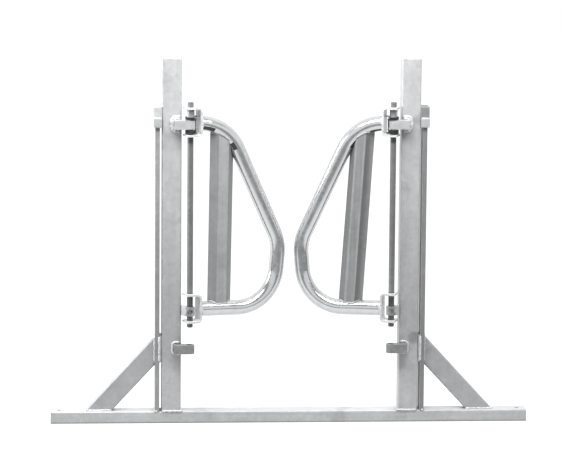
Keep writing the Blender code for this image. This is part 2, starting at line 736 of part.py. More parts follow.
def build_gate():
    tube_steel = metal("galvanised_tube", 0.62, 0.42)
    bar_steel = metal("galvanised_bar", 0.50, 0.48)
    rod_steel = metal("hinge_rod", 0.34, 0.45)
    flap_steel = metal("flap_tube", 0.66, 0.32)
    sheet_steel = metal("strut_sheet", 0.40, 0.45)
    strap_steel = metal("bracket_strap", 0.52, 0.40)
    pin_steel = metal("lock_pin", 0.30, 0.40)
    spring_steel = metal("spring_wire", 0.03, 0.45, 0.4)

    swing = Matrix.Translation((-ROD_X, ROD_Y, 0)) @ Matrix.Rotation(REST_SWING, 4, "Z")
    left_hinge = make_hinge("left_hinge_axis", swing)
    right_hinge = make_hinge("right_hinge_axis", MIRROR @ swing @ MIRROR)

    make_base(tube_steel)
    fixed = [make_post(tube_steel), make_post_cap(tube_steel), make_outer_flat(bar_steel),
             make_slot_block(bar_steel), make_slot_packer(bar_steel), make_brace(tube_steel),
             make_outer_lug(bar_steel),
             make_front_lug("hinge_lug_top_left", TOP_LUG_BOTTOM, bar_steel),
             make_front_lug("spare_lug_left", SPARE_LUG_BOTTOM, bar_steel)]
    boss = make_bottom_lug(bar_steel)
    rod = make_rod(rod_steel)
    pin, pin_hole = make_lock_pin(pin_steel)
    cut(boss, pin_hole)
    cut(rod, pin_hole)
    spring, leg_holes = make_spring(left_hinge, spring_steel)
    fixed += [boss, rod, pin, make_sleeve(rod_steel), spring]
    for piece in fixed:
        mirror_to_right(piece, piece.name.replace("_left", "_right"))

    bore_mesh = cylinder_mesh("ear_bore", ROD_BORE, (0, 0, 0), (0, 0, GATE_HEIGHT + CUT_REACH))
    ear_bore = cutter("ear_bore", bore_mesh, left_hinge)
    flap_tube, strut_ends = make_flap_tube(left_hinge, flap_steel)
    moving = [flap_tube,
              make_bracket("top_bracket_left", TOP_BRACKET_BOTTOM, left_hinge, ear_bore, leg_holes, strap_steel),
              make_bracket("bottom_bracket_left", LOW_BRACKET_BOTTOM, left_hinge, ear_bore, None, strap_steel)]
    for piece in moving:
        mirror_to_right(piece, piece.name.replace("_left", "_right"), right_hinge)
    make_strut("flap_strut_left", STRUT_LEFT_TOP, STRUT_LEFT_FOOT, left_hinge, strut_ends, sheet_steel)
    pattern = make_strut("strut_pattern", STRUT_RIGHT_TOP, STRUT_RIGHT_FOOT, left_hinge, strut_ends, sheet_steel)
    mirror_to_right(pattern, "flap_strut_right", right_hinge)
    bpy.data.objects.remove(pattern)


clear_scene()
gate_pieces = new_collection("anti_backing_gate")
cutters = new_collection("cutters")
build_gate()
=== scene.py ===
# Anti-backing gate: zinc finish, welds, springs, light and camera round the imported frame.
import math

import bmesh
import bpy
from mathutils import Matrix, Vector, noise


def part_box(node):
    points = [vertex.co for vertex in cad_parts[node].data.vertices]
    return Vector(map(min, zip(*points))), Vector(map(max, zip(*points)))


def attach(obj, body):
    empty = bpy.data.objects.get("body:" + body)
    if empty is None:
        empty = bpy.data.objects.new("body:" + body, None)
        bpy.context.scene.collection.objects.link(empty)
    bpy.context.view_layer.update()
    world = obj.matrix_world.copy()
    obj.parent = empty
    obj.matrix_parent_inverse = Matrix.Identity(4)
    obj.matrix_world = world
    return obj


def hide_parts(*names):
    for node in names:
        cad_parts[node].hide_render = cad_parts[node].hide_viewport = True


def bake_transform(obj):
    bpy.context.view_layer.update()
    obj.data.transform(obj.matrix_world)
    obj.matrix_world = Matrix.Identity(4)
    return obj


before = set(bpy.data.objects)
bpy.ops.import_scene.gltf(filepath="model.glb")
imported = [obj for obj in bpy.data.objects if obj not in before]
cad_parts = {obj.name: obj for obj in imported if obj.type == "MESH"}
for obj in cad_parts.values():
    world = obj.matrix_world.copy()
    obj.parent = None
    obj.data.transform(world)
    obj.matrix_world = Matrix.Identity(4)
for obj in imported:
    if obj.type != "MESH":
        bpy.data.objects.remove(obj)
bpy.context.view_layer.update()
print("frame loaded:", len(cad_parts), "nodes")


# Places, read from the frame so that the looks follow the steel
def low(node):
    return Vector(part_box(node)[0])


def high(node):
    return Vector(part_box(node)[1])


postInner, postOuter = low("post_right").x, high("post_right").x
postFront, postBack = low("post_right").y, high("post_right").y
baseTop = high("base_bar").z
rodX = (low("hinge_rod_right").x + high("hinge_rod_right").x) / 2
rodY = (low("hinge_rod_right").y + high("hinge_rod_right").y) / 2

sides = {"left": -1, "right": 1}
# How far a flap's plane is swung at rest, and how far its brackets' outer faces are from the rod
flap = {"restSwing": math.radians(18), "webOuter": 0.0343}
swingSin, swingCos = math.sin(flap["restSwing"]), math.cos(flap["restSwing"])


def flapPoint(side, u, v, z):
    # u runs out from the rod, v back through the flap's depth
    x = -rodX + u * swingCos - v * swingSin
    y = rodY + u * swingSin + v * swingCos
    return Vector((x * -side, y, z))


# Node helpers
def link(tree, source, socket):
    tree.links.new(source, socket)


def sumNode(tree, kind, *values):
    made = tree.nodes.new("ShaderNodeMath")
    made.operation = kind
    for socket, value in zip(made.inputs, values):
        if isinstance(value, (int, float)):
            socket.default_value = value
        else:
            link(tree, value, socket)
    return made.outputs[0]


def vectorNode(tree, kind, *values):
    made = tree.nodes.new("ShaderNodeVectorMath")
    made.operation = kind
    for socket, value in zip(made.inputs, values):
        if isinstance(value, (tuple, list)):
            socket.default_value = value
        else:
            link(tree, value, socket)
    return made


def partOf(tree, vector, axis):
    made = tree.nodes.new("ShaderNodeSeparateXYZ")
    link(tree, vector, made.inputs["Vector"])
    return made.outputs[axis]


def greyOf(tree, value):
    made = tree.nodes.new("ShaderNodeCombineColor")
    for channel in ("Red", "Green", "Blue"):
        link(tree, value, made.inputs[channel])
    return made.outputs["Color"]


def aboutMiddle(tree, value, depth):
    # a 0 to 1 value turned into a swing of half the depth each way
    return sumNode(tree, "MULTIPLY_ADD", value, depth, -depth / 2)


def ramp(tree, value, fromLow, fromHigh, toLow, toHigh):
    made = tree.nodes.new("ShaderNodeMapRange")
    for key, number in (("From Min", fromLow), ("From Max", fromHigh), ("To Min", toLow), ("To Max", toHigh)):
        made.inputs[key].default_value = number
    link(tree, value, made.inputs["Value"])
    return made.outputs["Result"]


def noiseOver(tree, place, scale, detail=4, stretch=None):
    if stretch:
        squash = tree.nodes.new("ShaderNodeMapping")
        squash.inputs["Scale"].default_value = stretch
        link(tree, place, squash.inputs["Vector"])
        place = squash.outputs["Vector"]
    made = tree.nodes.new("ShaderNodeTexNoise")
    made.inputs["Scale"].default_value = scale
    made.inputs["Detail"].default_value = detail
    link(tree, place, made.inputs["Vector"])
    return made.outputs["Fac"]


def newMaterial(name):
    material = bpy.data.materials.new(name)
    material.use_nodes = True
    return material, material.node_tree, material.node_tree.nodes["Principled BSDF"]


# Hot-dip zinc: clouds, spangle, runs down the length, dull stains, grain, and painted shade in the corners.
# Stains and blooms show where their noise is over the first number, and fully from the second.
zinc = {
    "tone": 0.60, "tint": (0.985, 1.0, 1.012), "metal": 0.18, "rough": 0.42,
    "cloud": 0.16, "cloudScale": 5.0, "grain": 0.05, "grainScale": 420.0,
    "spangle": 0.10, "spangleScale": 85.0, "spangleBend": 0.012, "bendScale": 60.0,
    "streak": 0.10, "streakStretch": (55.0, 55.0, 3.0),
    "stain": 0.14, "stainScale": 9.0, "stainOver": (0.58, 0.70),
    "bloom": 0.10, "bloomScale": 21.0, "bloomOver": (0.57, 0.72),
    "corner": 0.45, "cornerReach": 0.014, "cornerRays": 6, "cornerOver": (0.15, 0.85),
    "bump": 0.28, "bumpHeight": 0.0006, "bumpSpangle": 0.5, "roughSpangle": 0.12, "roughCloud": 0.16,
    "patches": [], "patchEdge": 0.03, "patchCore": 0.45, "bands": [], "bandEdge": 0.006,
    "facets": None, "facetTurn": (0.25, 0.5), "across": None}


def spangleOver(tree, place, look):
    # crystals with bent edges, each of one level from 0 to 1
    bend = tree.nodes.new("ShaderNodeTexNoise")
    bend.inputs["Scale"].default_value = look["bendScale"]
    link(tree, place, bend.inputs["Vector"])
    bent = vectorNode(tree, "MULTIPLY_ADD", bend.outputs["Color"], (look["spangleBend"],) * 3, place)
    cells = tree.nodes.new("ShaderNodeTexVoronoi")
    cells.inputs["Scale"].default_value = look["spangleScale"]
    link(tree, bent.outputs["Vector"], cells.inputs["Vector"])
    split = tree.nodes.new("ShaderNodeSeparateColor")
    link(tree, cells.outputs["Color"], split.inputs["Color"])
    return split.outputs["Red"]


def withMarks(tree, place, tone, look, cloud, grain):
    # what only some pieces have: darker patches, painted shade at some heights, and painted light and shade
    # on a folded sheet's faces
    for patch in look["patches"]:
        away = vectorNode(tree, "DISTANCE", place, patch["at"]).outputs["Value"]
        ragged = sumNode(tree, "ADD", away, aboutMiddle(tree, cloud, look["patchEdge"]))
        dark = ramp(tree, ragged, patch["size"] * look["patchCore"], patch["size"], -patch["dark"], 0)
        tone = sumNode(tree, "ADD", tone, dark)
    # painted shade: darker round each listed height
    for band in look["bands"]:
        off = sumNode(tree, "ABSOLUTE", sumNode(tree, "SUBTRACT", partOf(tree, place, "Z"), band["at"]))
        off = sumNode(tree, "ADD", off, aboutMiddle(tree, grain, look["bandEdge"]))
        end = band["half"] + band.get("soft", look["bandEdge"])
        tone = sumNode(tree, "ADD", tone, ramp(tree, off, band["half"], end, -band["dark"], 0))
    if look["facets"]:
        # painted light and shade: sheet that faces one way or the other along a line is darker or lighter
        # than what lies between
        normal = tree.nodes.new("ShaderNodeTexCoord").outputs["Normal"]
        facing = vectorNode(tree, "DOT_PRODUCT", normal, look["facets"]["along"]).outputs["Value"]
        behind, between, ahead = look["facets"]["tones"]
        begin, full = look["facetTurn"]
        factor = sumNode(tree, "ADD", ramp(tree, facing, -full, -begin, behind - between, 0),
                         ramp(tree, facing, begin, full, 0, ahead - between))
        tone = sumNode(tree, "MULTIPLY", tone, sumNode(tree, "ADD", factor, between))
    if look["across"]:
        # painted light and shade: a sheet's tone from one long edge to the other, by the distance from its
        # middle line
        reached = vectorNode(tree, "DOT_PRODUCT", place, look["across"]["along"]).outputs["Value"]
        off = sumNode(tree, "SUBTRACT", reached, look["across"]["middle"])
        stops = look["across"]["stops"]
        factor = stops[0][1]
        for (near, before), (far, after) in zip(stops, stops[1:]):
            factor = sumNode(tree, "ADD", ramp(tree, off, near, far, 0, after - before), factor)
        tone = sumNode(tree, "MULTIPLY", tone, factor)
    return tone


def zincSteel(name, **changes):
    look = {**zinc, **changes}
    material, tree, shader = newMaterial(name)
    place = tree.nodes.new("ShaderNodeTexCoord").outputs["Object"]

    cloud = noiseOver(tree, place, look["cloudScale"], 5)
    streak = noiseOver(tree, place, 1.0, 3, look["streakStretch"])
    stain = ramp(tree, noiseOver(tree, place, look["stainScale"], 6), *look["stainOver"], 0, -look["stain"])
    bloom = ramp(tree, noiseOver(tree, place, look["bloomScale"], 5), *look["bloomOver"], 0, look["bloom"])
    grain = noiseOver(tree, place, look["grainScale"], 3)
    crystal = spangleOver(tree, place, look)

    tone = sumNode(tree, "ADD", aboutMiddle(tree, cloud, look["cloud"] * 2), 1.0)
    for part in (aboutMiddle(tree, streak, look["streak"] * 2), aboutMiddle(tree, crystal, look["spangle"]),
                 stain, bloom, aboutMiddle(tree, grain, look["grain"])):
        tone = sumNode(tree, "ADD", tone, part)
    tone = withMarks(tree, place, tone, look, cloud, grain)
    # painted shade: darker where ambient occlusion finds steel close by, in corners and between parts
    shade = tree.nodes.new("ShaderNodeAmbientOcclusion")
    shade.inputs["Distance"].default_value = look["cornerReach"]
    shade.samples = look["cornerRays"]
    paintedCornerShade = ramp(tree, shade.outputs["AO"], *look["cornerOver"], 1 - look["corner"], 1)
    tone = sumNode(tree, "MULTIPLY", tone, paintedCornerShade)

    colour = vectorNode(tree, "SCALE", [look["tone"] * t for t in look["tint"]])
    link(tree, tone, colour.inputs["Scale"])
    link(tree, colour.outputs["Vector"], shader.inputs["Base Color"])
    uneven = sumNode(tree, "ADD", aboutMiddle(tree, crystal, look["roughSpangle"]),
                     aboutMiddle(tree, cloud, look["roughCloud"]))
    link(tree, sumNode(tree, "ADD", uneven, look["rough"]), shader.inputs["Roughness"])
    shader.inputs["Metallic"].default_value = look["metal"]

    bump = tree.nodes.new("ShaderNodeBump")
    bump.inputs["Strength"].default_value = look["bump"]
    bump.inputs["Distance"].default_value = look["bumpHeight"]
    height = sumNode(tree, "ADD", grain, aboutMiddle(tree, crystal, look["bumpSpangle"]))
    link(tree, height, bump.inputs["Height"])
    link(tree, bump.outputs["Normal"], shader.inputs["Normal"])
    return material


# Oiled black wire, rubbed a little lighter here and there
black = {"rubScale": 160.0, "rubOver": (0.45, 0.75), "tones": (0.022, 0.085),
         "roughScale": 300.0, "roughOver": (0.3, 0.7), "rough": (0.30, 0.5), "metal": 0.5}


def springBlack(name):
    material, tree, shader = newMaterial(name)
    place = tree.nodes.new("ShaderNodeTexCoord").outputs["Object"]
    rubbed = ramp(tree, noiseOver(tree, place, black["rubScale"]), *black["rubOver"], *black["tones"])
    rough = ramp(tree, noiseOver(tree, place, black["roughScale"]), *black["roughOver"], *black["rough"])
    link(tree, greyOf(tree, rubbed), shader.inputs["Base Color"])
    link(tree, rough, shader.inputs["Roughness"])
    shader.inputs["Metallic"].default_value = black["metal"]
    return material


# Distances from the rod at which each strut's middle meets the tube, at its top and at its foot
struts = {"left": (0.112, 0.103), "right": (0.103, 0.142), "inTube": 0.045,
          "weldStep": 0.004, "weldOut": 0.002,
          "profile": [(-0.0396, 0.0045), (-0.017, -0.018), (0.017, -0.018), (0.0396, 0.0045)]}
strutTop, strutFoot = high("flap_strut_right").z, low("flap_strut_right").z
strutLean = (struts["right"][1] - struts["right"][0]) / (strutTop - strutFoot + struts["inTube"])
strutMiddle = (swingCos * rodX - swingSin * rodY - sum(struts["right"]) / 2
               - strutLean * (strutTop + strutFoot) / 2)

# Finishes
# Posts: the band darkens them round their lower middle height, painted shade; the two patches are darker
# spots on the right post's front.
postZinc = zincSteel(
    "postZinc",
    patches=[{"at": (0.419, postFront, 1.024), "size": 0.024, "dark": 0.22},
             {"at": (0.415, postFront, 0.288), "size": 0.022, "dark": 0.30}],
    bands=[{"at": 0.41, "half": 0.03, "soft": 0.24, "dark": 0.15}])
baseZinc = zincSteel("baseZinc", tone=0.63, streakStretch=(3.0, 40.0, 90.0), streak=0.14, stain=0.18)
braceZinc = zincSteel("braceZinc", tone=0.50)
# The left flat's band darkens it round its lower middle height: painted shade.
flatZinc = zincSteel("flatZinc", tone=0.43, streak=0.12,
                     bands=[{"at": 0.35, "half": 0.08, "soft": 0.30, "dark": 0.20}])
# The right flat and slot block: a darker copy of the flat's zinc, painted shade, with faces towards the left
# lightened, painted light.
flatZincPaintedShade = zincSteel("flatZincPaintedShade", tone=0.29, streak=0.16, corner=0.1,
                         facets={"along": (1, 0, 0), "tones": (2.3, 1.0, 1.0)})
lugZinc = zincSteel("lugZinc", tone=0.58, rough=0.38, cloudScale=22.0, bloom=0.18)
# The block's near-black spots along its top back edge are painted shade.
blockZinc = zincSteel(
    "blockZinc", tone=0.66, rough=0.38, cloudScale=22.0, bloom=0.18,
    patches=[{"at": (x, postBack, 1.066), "size": 0.016, "dark": 0.8} for x in (-0.436, -0.450)])
spareZinc = zincSteel("spareZinc", tone=0.30, rough=0.45, cloudScale=40.0, stain=0.25, spangle=0.25,
                      bloom=0.2)
flapZinc = zincSteel("flapZinc", tone=0.62, metal=0.8, rough=0.17, cloud=0.10, cloudScale=9.0, streak=0.06,
                     spangle=0.05, bump=0.08)
# Struts: faces by direction, and strips across the right strut, are lighter or darker, painted light and
# shade.
strutLook = {"tone": 0.38, "rough": 0.45, "streak": 0.18, "streakStretch": (110.0, 110.0, 1.6)}
strutLeftZinc = zincSteel("strutLeftZinc", **strutLook,
                          facets={"along": (swingCos, swingSin, 0), "tones": (0.90, 1.22, 0.86)})
strutRightZinc = zincSteel(
    "strutRightZinc", **strutLook,
    facets={"along": (swingCos, -swingSin, 0), "tones": (0.74, 0.84, 1.15)},
    across={"along": (swingCos, -swingSin, -strutLean), "middle": strutMiddle, "stops": [
        (-0.019, 0.90), (-0.017, 1.28), (-0.012, 1.28), (-0.010, 1.0), (0.010, 1.0),
        (0.012, 1.22), (0.0165, 1.22), (0.018, 0.45), (0.026, 0.52), (0.036, 0.85)]})
# Near-black finish for the flap tubes' undersides near their ends and past the strut: painted shade and
# painted dark reflection.
paintedShadeZinc = zincSteel("paintedShadeZinc", tone=0.05, metal=0.1, rough=0.5, cloudScale=30.0, bloom=0.3)
strapZinc = zincSteel("strapZinc", tone=0.86, metal=0.2, rough=0.32, cloudScale=40.0, corner=0.55,
                      cornerReach=0.008, stain=0.30, spangle=0.16)
bossZinc = zincSteel(
    "bossZinc", tone=0.62, rough=0.4, cloudScale=60.0, stain=0.3,
    patches=[{"at": (x, rodY - 0.0165, z), "size": 0.018, "dark": dark}
             for x in (-rodX, rodX) for z, dark in ((0.393, 0.42), (0.376, 0.48))])
# The rod is darker inside the low bracket, on its low stub and just under the top bracket: painted shade.
rodZinc = zincSteel(
    "rodZinc", tone=0.23, metal=0.30, rough=0.36, streak=0.16, streakStretch=(120.0, 120.0, 4.0),
    bands=[{"at": 0.395, "half": 0.048, "dark": 0.45}, {"at": 0.338, "half": 0.008, "dark": 0.3},
           {"at": 0.962, "half": 0.010, "dark": 0.45}])
# The thin dark ring at the sleeve's top, under the top ear, is painted shade.
sleeveZinc = zincSteel("sleeveZinc", tone=0.56, metal=0.4, rough=0.35, cloudScale=40.0,
                       bands=[{"at": 1.060, "half": 0.003, "dark": 0.6}])
pinSteel = zincSteel("pinSteel", tone=0.24, metal=0.6, rough=0.38)
weldZinc = zincSteel("weldZinc", tone=0.80, metal=0.2, rough=0.30, cloudScale=60.0, corner=0.2, bump=0.4)
weldDull = zincSteel("weldDull", tone=0.55, metal=0.2, rough=0.38, cloudScale=60.0, corner=0.3, bump=0.4)
springWire = springBlack("springWire")
print("materials ready")


# Each piece of the frame that keeps its own shape gets its finish, and a few get softer edges.
finishOf = {
    "base_bar": baseZinc, "post": postZinc, "post_cap": postZinc, "brace": braceZinc,
    "outer_flat_left": flatZinc, "outer_flat_right": flatZincPaintedShade, "outer_lug_top": lugZinc,
    "slot_block_left": blockZinc, "slot_block_right": flatZincPaintedShade, "slot_packer": lugZinc,
    "hinge_lug_top": lugZinc, "hinge_lug_bottom": bossZinc, "spare_lug": spareZinc, "hinge_rod": rodZinc,
    "lock_pin": pinSteel, "sleeve": sleeveZinc, "top_bracket": strapZinc, "bottom_bracket": strapZinc,
    "flap_strut_left": strutLeftZinc, "flap_strut_right": strutRightZinc}
softEdges = {"hinge_lug_top": 0.0012, "spare_lug": 0.0012, "top_bracket": 0.0010, "bottom_bracket": 0.0010,
             "post_cap": 0.0008, "hinge_lug_bottom": 0.0010, "brace": 0.0006, "base_bar": 0.0006}
edgeCut = {"merge": 0.00002, "segments": 2, "angle": math.radians(40)}
for nodeName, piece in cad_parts.items():
    family = nodeName if nodeName in finishOf else nodeName.rsplit("_", 1)[0]
    if family not in finishOf:
        continue
    for materialSlot in piece.material_slots:
        materialSlot.material = finishOf[family]
    width = softEdges.get(nodeName, softEdges.get(family))
    if width:
        piece.modifiers.new("seams", "WELD").merge_threshold = edgeCut["merge"]
        edge = piece.modifiers.new("edges", "BEVEL")
        edge.width = width
        edge.segments = edgeCut["segments"]
        edge.limit_method = "ANGLE"
        edge.angle_limit = edgeCut["angle"]
print("frame dressed")


# Swept shapes
def evenly(points, step):
    # the same line, with points an even step apart
    out = [points[0].copy()]
    for start, end in zip(points, points[1:]):
        count = max(1, round((end - start).length / step))
        for i in range(1, count + 1):
            out.append(start.lerp(end, i / count))
    return out


def closes(points):
    return (points[0] - points[-1]).length < 1e-7


def sweep(work, points, radiusAt, ringSides=12):
    closed = closes(points)
    if closed:
        points = points[:-1]
    count = len(points)
    across = None
    rings = []
    for i, here in enumerate(points):
        ahead = points[(i + 1) % count] if closed or i < count - 1 else here
        behind = points[i - 1] if closed or i > 0 else here
        along = (ahead - behind).normalized()
        if across is None:
            across = along.orthogonal().normalized()
        across = (across - along * across.dot(along)).normalized()
        other = along.cross(across)
        ring = []
        for k in range(ringSides):
            turn = math.tau * k / ringSides
            spoke = across * math.cos(turn) + other * math.sin(turn)
            ring.append(work.verts.new(here + spoke * radiusAt(i, count, here, spoke)))
        rings.append(ring)
    pairs = list(zip(rings, rings[1:])) + ([(rings[-1], rings[0])] if closed else [])
    for first, second in pairs:
        for k in range(ringSides):
            work.faces.new((first[k], first[(k + 1) % ringSides], second[(k + 1) % ringSides], second[k]))
    if not closed:
        work.faces.new(rings[0][::-1])
        work.faces.new(rings[-1])


def finishMesh(name, work, material, smoothAngle=50):
    bmesh.ops.recalc_face_normals(work, faces=work.faces)
    mesh = bpy.data.meshes.new(name)
    work.to_mesh(mesh)
    work.free()
    mesh.materials.append(material)
    mesh.shade_smooth()
    mesh.set_sharp_from_angle(angle=math.radians(smoothAngle))
    piece = bpy.data.objects.new(name, mesh)
    bpy.context.scene.collection.objects.link(piece)
    return piece


# Welds: rippled beads that taper at their ends
bead = {"step": 0.0018, "ripple": 0.10, "ripplePitch": 0.0055, "lump": 0.38, "lumpScale": 130.0,
        "taper": 0.006, "thinEnd": 0.35, "smooth": 60}
welds = {"lug_top": 0.0056, "spare_lug": 0.0056, "outer_lug": 0.0022, "packer": 0.0042, "cap": 0.0015,
         "foot": 0.0046, "brace": 0.0042, "block": 0.0020, "arm": 0.0026, "rings": 0.0022, "strut": 0.0030}


def weldBeads(name, lines, radius, body, material=weldZinc):
    work = bmesh.new()
    for line in lines:
        points = evenly(line, bead["step"])
        closed = closes(points)

        def radiusAt(i, count, here, spoke):
            run = i * bead["step"]
            wave = 1 - bead["ripple"] * abs(math.sin(math.pi * run / bead["ripplePitch"]))
            lump = 1 + bead["lump"] * noise.noise((here + spoke * radius) * bead["lumpScale"])
            end = 1.0
            if not closed:
                near = min(1, min(i, count - 1 - i) * bead["step"] / bead["taper"])
                end = bead["thinEnd"] + (1 - bead["thinEnd"]) * math.sin(near * math.pi / 2)
            return radius * wave * lump * end

        sweep(work, points, radiusAt)
    piece = finishMesh(name, work, material, bead["smooth"])
    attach(piece, body)


# How beads lie: how far off a face, short of a piece's end, and off each lug
lay = {"proud": 0.001, "short": 0.003, "endIn": 0.004, "round": 0.006, "capIn": 0.0007, "backIn": 0.008,
       "flatRun": 0.010, "braceHead": 0.088, "braceHeel": 0.090, "armFrom": 0.018,
       "lugOff": (0.0030, 0.0095), "spareOff": 0.0045, "lugSunk": 0.0015, "underLug": (0.009, 0.008)}


def mirrored(points, side):
    return [Vector((p[0] * side, p[1], p[2])) for p in points]


def aroundLug(node, off):
    # a C round a lug's outer end, on the post's front face
    inner, outer = low(node), high(node)
    end = max(abs(inner.x), abs(outer.x)) + off
    start, y = postInner + lay["endIn"], postFront - lay["lugSunk"]
    top, foot = outer.z + off, inner.z - off
    corner = off + lay["round"]
    line = [(start, y, top)]
    for middle, turned in ((top - corner, 0), (foot + corner, 1)):
        for i in range(7):
            angle = math.pi / 2 * (turned + i / 6)
            line.append((end - corner + corner * math.sin(angle), y, middle + corner * math.cos(angle)))
    line.append((start, y, foot))
    return line


def underLug(node):
    # along the lug's foot where it lies on the flat bar
    inner, outer = low(node), high(node)
    near, far = sorted((abs(inner.x), abs(outer.x)))
    y = postFront - lay["proud"] / 2
    return [(near + lay["underLug"][0], y, inner.z), (far - lay["underLug"][1], y, inner.z)]


def roundEnd(front, back, end, start):
    # (y, distance) of a bead that runs along a strut's front face, round its end and along its back face
    turn, over = end - lay["endIn"], end + lay["proud"]
    return [(front, start), (front, turn), (front + lay["round"], over),
            (back - lay["round"], over), (back, turn), (back, start)]


def frameSeams(word):
    # every seam on one side of the frame, as it lies on the right
    flatOut = high("outer_flat_right").x
    packerLow, packerHigh = low("slot_packer_right"), high("slot_packer_right")
    braceLow, braceHigh = low("brace_right"), high("brace_right")
    blockLow, blockHigh = low("slot_block_right"), high("slot_block_right")
    armLow, armHigh = low("hinge_lug_bottom_right"), high("hinge_lug_bottom_right")
    capZ = low(f"post_cap_{word}").z
    proud, short = lay["proud"], lay["short"]
    foot = baseTop + proud
    left, right = postInner + lay["capIn"], postOuter - lay["capIn"]
    front, back = postFront + lay["capIn"], postBack - lay["capIn"]
    footFront, footBack, footHidden = postFront + proud, postBack - proud, postBack - lay["backIn"]
    innerSide, footRight, flatSide = postInner - proud, postOuter - 2 * proud, flatOut + proud
    packerX, packerY = packerHigh.x + proud, postFront + proud / 2
    head = roundEnd(braceLow.y, braceHigh.y, braceHigh.z, braceHigh.z - lay["braceHead"])
    heel = roundEnd(braceLow.y, braceHigh.y, braceHigh.x, braceHigh.x - lay["braceHeel"])
    return {
        "lug_top": [aroundLug(f"hinge_lug_top_{word}", off) for off in lay["lugOff"]],
        "spare_lug": [aroundLug(f"spare_lug_{word}", lay["spareOff"])],
        "outer_lug": [underLug(f"outer_lug_top_{word}")],
        "packer": [[(packerX, packerY, packerLow.z + short), (packerX, packerY, packerHigh.z - proud)]],
        "cap": [[(left, front, capZ), (right, front, capZ), (right, back, capZ), (left, back, capZ),
                 (left, front, capZ)]],
        "foot": [[(innerSide, footHidden, foot), (innerSide, footFront, foot), (footRight, footFront, foot)],
                 [(footRight, footBack, foot), (postInner, footBack, foot)],
                 [(flatSide, footHidden, foot), (flatSide, postFront + lay["endIn"], foot)],
                 [(flatOut - lay["flatRun"], footFront, foot), (flatOut, footFront, foot)]],
        "brace": [[(flatSide, y, z) for y, z in head], [(x, y, foot) for y, x in heel]],
        "block": [[(postOuter + proud, blockLow.y + short, blockHigh.z),
                   (postOuter + proud, blockHigh.y - short, blockHigh.z)],
                  [(postOuter + 2 * proud, blockLow.y, blockLow.z),
                   (blockHigh.x - short, blockLow.y, blockLow.z)]],
        "arm": [[(innerSide, rodY + lay["armFrom"], z), (innerSide, armHigh.y - lay["endIn"], z)]
                for z in (armLow.z, armHigh.z)]}


for word, side in sides.items():
    for seam, lines in frameSeams(word).items():
        weldBeads(f"weld_{seam}_{word}", [mirrored(line, side) for line in lines], welds[seam], "frame")
print("frame welds laid")


# Flap tubes: one bent tube each, with the inside of the low bend creased by the bending
tube = {
    "radius": 0.0255, "start": (0.025, 1.014), "bottom": 0.387, "noseGap": 0.028, "noseStraight": 0.050,
    "topBend": 0.156, "noseBend": 0.150, "lowBend": 0.136, "noseHeading": math.radians(95),
    "armRise": math.radians(1.6), "ringSides": 44, "bendStep": math.radians(2.2), "runStep": 0.012,
    "crease": {"left": 0.00025, "right": 0.0009}, "creasePitch": 0.0115, "creaseFrom": 0.60,
    "creaseRun": 0.20, "flatten": 0.012, "waver": 0.00012, "intoWeb": 0.003, "ringOff": 0.0012,
    "ringRise": 0.0004,
    # the next three say where the tube's underside carries the painted shade
    "paintedShadeDip": {"left": (18, 52), "right": (40, 92)}, "paintedShadeEnds": (0.0, 0.056),
    "paintedShadePastStrut": {"left": (0.138, 0.166), "right": (0.118, 0.158)}}
reach = (rodX - tube["noseGap"] / 2 - tube["radius"]) / swingCos


def slopeRun(turn):
    across = tube["topBend"] * math.sin(turn) + tube["noseBend"] * (1 - math.sin(turn))
    return (reach - tube["start"][0] - across) / math.cos(turn)


def dropOf(turn):
    # height from the tube's start to its low arm, for one turn of the upper bend
    nose = tube["noseHeading"]
    return (tube["topBend"] * (1 - math.cos(turn)) + slopeRun(turn) * math.sin(turn)
            + tube["noseBend"] * (math.cos(turn) - math.cos(nose)) + tube["noseStraight"] * math.sin(nose)
            + tube["lowBend"] * (1 + math.cos(nose)))


def upperTurn():
    # the turn at which the D is as tall as its hinges are apart
    small, large = math.radians(20), math.radians(85)
    for _ in range(50):
        middle = (small + large) / 2
        if dropOf(middle) < tube["start"][1] - tube["bottom"]:
            small = middle
        else:
            large = middle
    return middle


def tubeStations():
    # centre line as (u, z, heading, bend number or -1, distance along)
    u, z, heading, along = *tube["start"], 0.0, 0.0
    stations = [(u, z, heading, 0, along)]

    def straight(length):
        nonlocal u, z, along
        steps = math.ceil(length / tube["runStep"])
        for _ in range(steps):
            u += length / steps * math.cos(heading)
            z -= length / steps * math.sin(heading)
            along += length / steps
            stations.append((u, z, heading, -1, along))

    turned, nose = upperTurn(), tube["noseHeading"]
    runs = [(tube["topBend"], turned), (0, slopeRun(turned)), (tube["noseBend"], nose - turned),
            (0, tube["noseStraight"]), (tube["lowBend"], math.pi + tube["armRise"] - nose)]
    for number, (radius, amount) in enumerate(runs):
        if not radius:
            straight(amount)
            continue
        centre = (u - radius * math.sin(heading), z - radius * math.cos(heading))
        steps = math.ceil(amount / tube["bendStep"])
        for i in range(1, steps + 1):
            angle = heading + amount * i / steps
            along += radius * amount / steps
            u, z = centre[0] + radius * math.sin(angle), centre[1] + radius * math.cos(angle)
            stations.append((u, z, angle, number, along))
        heading += amount
    straight((u - tube["start"][0]) / -math.cos(heading))
    return stations


def keepOutsideWeb(stations):
    # both ends moved to the bracket's outer face
    web, skip = flap["webOuter"], tube["intoWeb"]
    inside = [s for s in stations if s[0] > web + skip]
    first, last = inside[0], inside[-1]
    head = (web, first[1] + (first[0] - web) * math.tan(first[2]), first[2], first[3], first[4] - skip)
    tail = (web, last[1] + (last[0] - web) * math.tan(last[2]), last[2], last[3], last[4] + skip)
    return [head] + inside + [tail]


stations = keepOutsideWeb(tubeStations())


